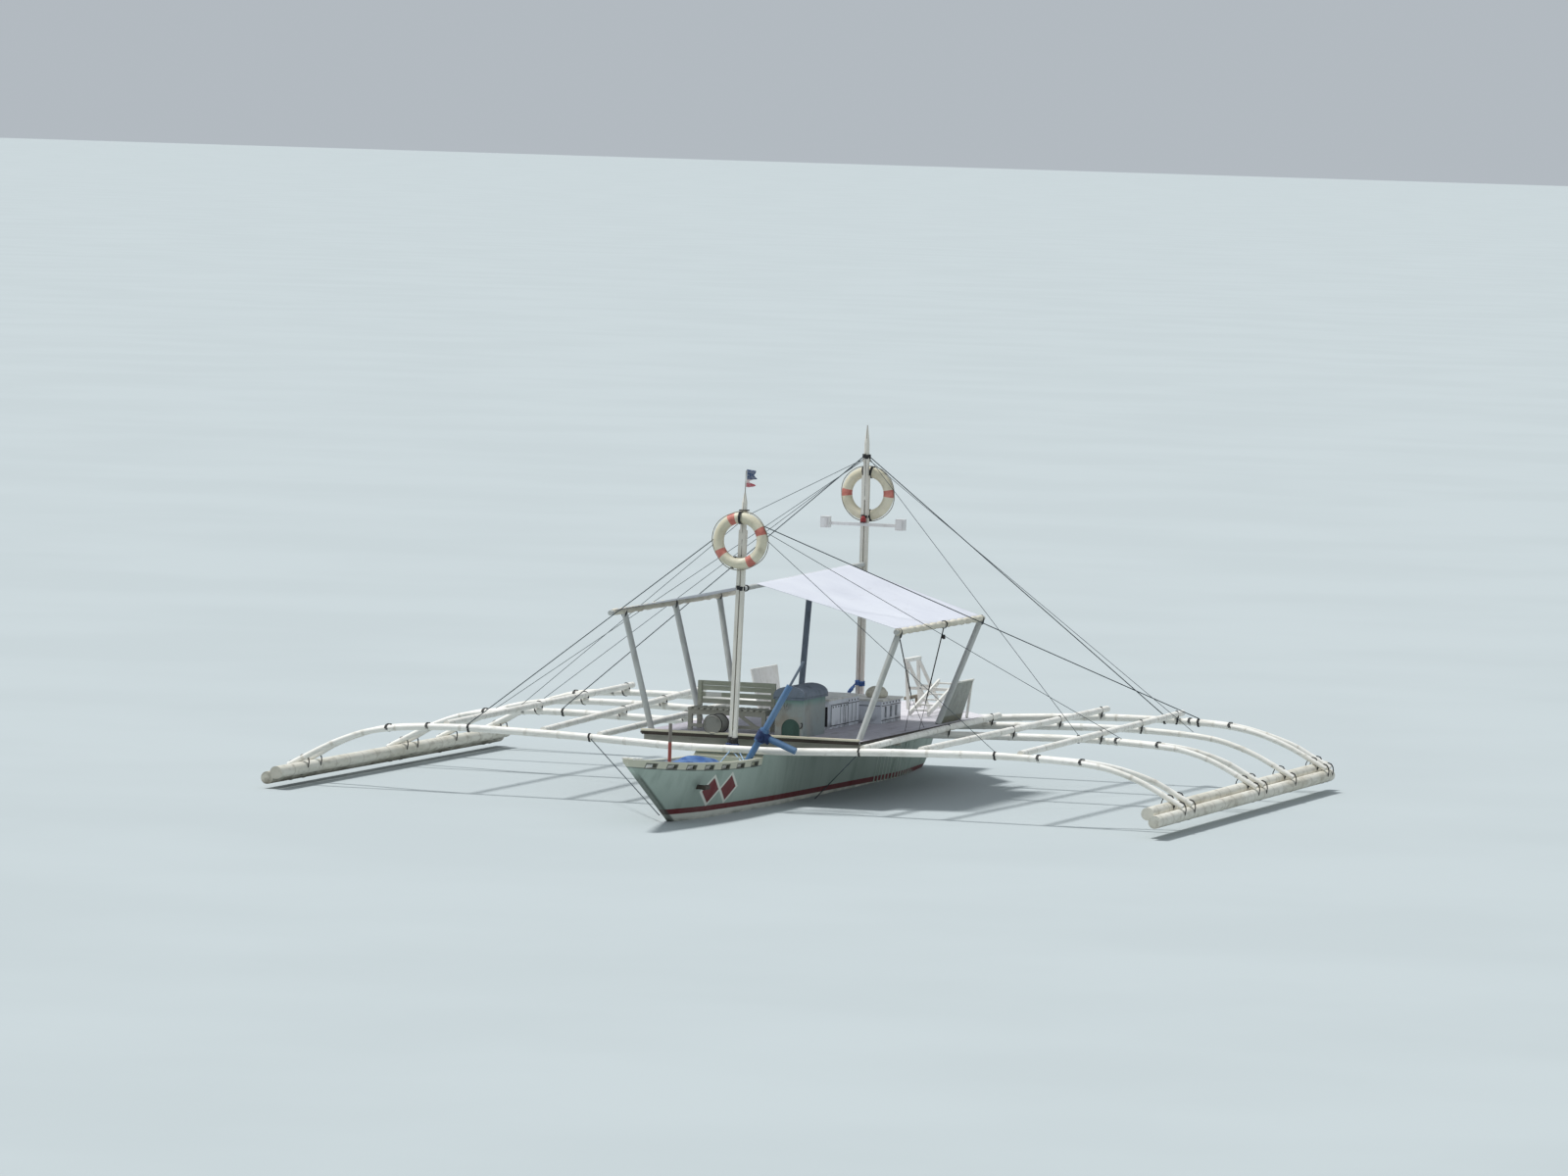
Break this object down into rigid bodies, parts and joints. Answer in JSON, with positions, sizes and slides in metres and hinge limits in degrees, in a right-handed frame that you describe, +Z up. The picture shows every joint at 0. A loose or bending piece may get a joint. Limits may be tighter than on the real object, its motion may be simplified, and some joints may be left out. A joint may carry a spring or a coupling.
{
  "type": "outrigger canoe",
  "caption": "Narrow motor canoe with bamboo floats on bent booms either side, light deck, peaked awning, two masts, engine casing, propeller and rudder.",
  "frame": {"origin": "on the waterline and the centreline, midway between the ends of the outrigger frame", "axes": "+X to the bow, +Y to port, +Z up"},
  "size_m": [11.85, 11.288, 4.91],
  "materials": {
    "hull": "weathered off-white paint on planks",
    "deck": "worn grey paint",
    "timber": "bare weathered timber",
    "bamboo": "white paint on bamboo",
    "float": "white paint on bamboo, stained below",
    "mast": "cream paint on planks",
    "pole": "pale grey paint",
    "sheet": "white woven sheet",
    "ring": "cream with faded salmon bands",
    "white": "white paint",
    "hood": "grey-green paint",
    "slate": "slate grey paint",
    "panel": "grey paint",
    "bench": "weathered slats",
    "engine": "green engine paint",
    "metal": "dull bronze",
    "steel": "dull",
    "light": "red lens",
    "blue": "chipped blue paint",
    "tarp": "blue woven tarpaulin",
    "red": "red paint over grey timber",
    "wire": "dark synthetic rope"
  },
  "bodies": {
    "canoe": {"hull": "hull", "deck": "deck", "crossbeam_1": "timber", "crossbeam_2": "timber", "crossbeam_3": "timber", "crossbeam_4": "timber", "crossbeam_5": "timber", "boom_1": "bamboo", "boom_2": "bamboo", "boom_3": "bamboo", "boom_4": "bamboo", "float_port_inner": "float", "float_port_outer": "float", "float_starboard_inner": "float", "float_starboard_outer": "float", "rail_inner_port": "bamboo", "rail_inner_starboard": "bamboo", "rail_middle_port": "bamboo", "rail_middle_starboard": "bamboo", "rail_outer_port": "bamboo", "rail_outer_starboard": "bamboo", "fore_mast": "mast", "aft_mast": "mast", "fore_life_ring": "ring", "aft_life_ring": "ring", "spreader": "white", "mast_light": "light", "ridge_pole": "pole", "eave_pole_port": "pole", "eave_pole_starboard": "pole", "post_port_1": "pole", "post_port_2": "pole", "post_starboard_1": "pole", "post_starboard_2": "pole", "post_starboard_3": "pole", "post_centre": "slate", "awning": "sheet", "engine_hood": "hood", "hood_roof": "slate", "casing": "panel", "casing_roof": "white", "engine": "engine", "locker": "panel", "bench": "bench", "side_board_port": "panel", "side_board_starboard": "white", "stern_trestle": "white", "boarding_ladder": "white", "shaft_strut": "steel", "bow_post": "red", "pipe_anchor": "blue", "tarpaulin": "tarp", "stay_fore_port": "wire", "stay_fore_starboard": "wire", "stay_aft_port": "wire", "stay_aft_starboard": "wire"},
    "rudder": {"rudder": "timber"},
    "propeller": {"propeller": "metal"},
    "casing_door": {"casing_door": "panel"},
    "locker_lid": {"locker_lid": "white"}
  },
  "joints": [
    {"name": "rudder_steer", "type": "hinge", "parent": "canoe", "child": "rudder", "pos_m": [-4.33, 0, 0.2], "axis": [0, 0, 1], "range_deg": [-35, 35]},
    {"name": "propeller_spin", "type": "hinge", "parent": "canoe", "child": "propeller", "pos_m": [-3.93, 0, -0.272], "axis": [1, 0, 0], "continuous": true},
    {"name": "casing_door_swing", "type": "hinge", "parent": "canoe", "child": "casing_door", "pos_m": [0.885, 0.4853, 0.9825], "axis": [0, 0, -1], "range_deg": [0, 110]},
    {"name": "locker_lid_swing", "type": "hinge", "parent": "canoe", "child": "locker_lid", "pos_m": [-0.87, 0.095, 1.114], "axis": [1, 0, 0], "range_deg": [0, 95]}
  ]
}
